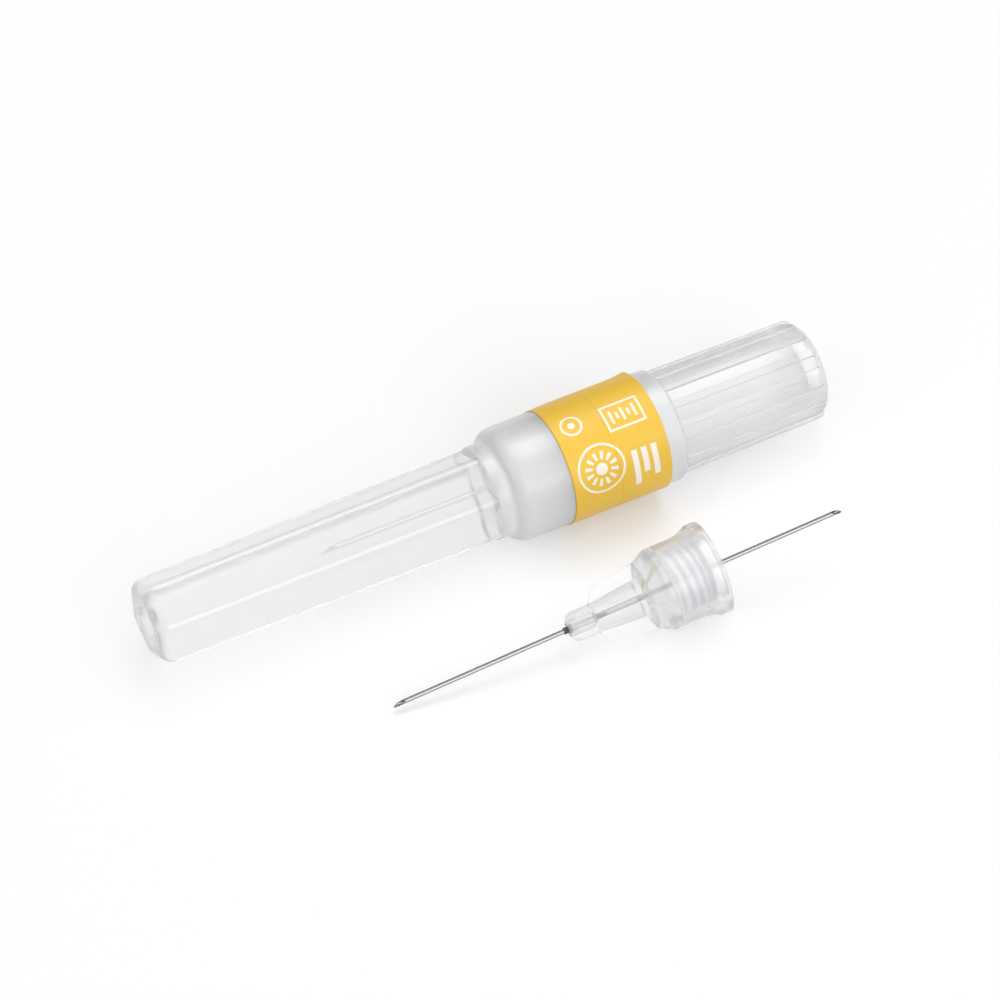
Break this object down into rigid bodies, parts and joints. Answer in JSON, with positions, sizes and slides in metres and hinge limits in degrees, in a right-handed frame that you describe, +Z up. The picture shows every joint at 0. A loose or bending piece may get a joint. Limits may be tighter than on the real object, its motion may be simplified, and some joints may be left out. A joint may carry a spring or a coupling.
{
  "type": "dental injection needle in sealed case",
  "caption": "Double-ended dental needle sealed in a clear two-part case with a yellow seal, and the same needle bare beside it; the hub screws onto a cartridge syringe.",
  "frame": {"origin": "centre of the bounding box at table height, under the case and the bare needle as they lie on a table", "axes": "+X along the case axis from the sheath's tip to the rear cap's end, +Z up from the table, +Y from the bare needle to the case"},
  "size_m": [0.0824, 0.032, 0.0134],
  "materials": {
    "clear_case": "semi-clear moulded polypropylene, lightly frosted",
    "seal_film": "satin printed label",
    "clear_hub": "clear moulded plastic",
    "steel": "drawn and polished stainless tube",
    "dark_mark": "dark matt band",
    "adhesive": "cured clear adhesive, faintly amber"
  },
  "bodies": {
    "needle": {"hub": "clear_hub", "cannula": "steel", "mark_ring": "dark_mark", "hub_adhesive": "adhesive"},
    "sheath": {"needle_sheath": "clear_case", "seal_front": "seal_film"},
    "rear_cap": {"rear_cap": "clear_case", "seal_rear": "seal_film"},
    "loose_needle": {"loose_hub": "clear_hub", "loose_cannula": "steel", "loose_mark_ring": "dark_mark", "loose_adhesive": "adhesive"}
  },
  "joints": [
    {"name": "sheath_pull", "type": "slide", "parent": "needle", "child": "sheath", "axis": [-1, 0, 0], "range_m": [0, 0.045]},
    {"name": "rear_cap_pull", "type": "slide", "parent": "needle", "child": "rear_cap", "axis": [1, 0, 0], "range_m": [0, 0.03]},
    {"name": "loose_needle_aside", "type": "slide", "parent": "needle", "child": "loose_needle", "axis": [0, -1, 0], "range_m": [0, 0.03]}
  ]
}
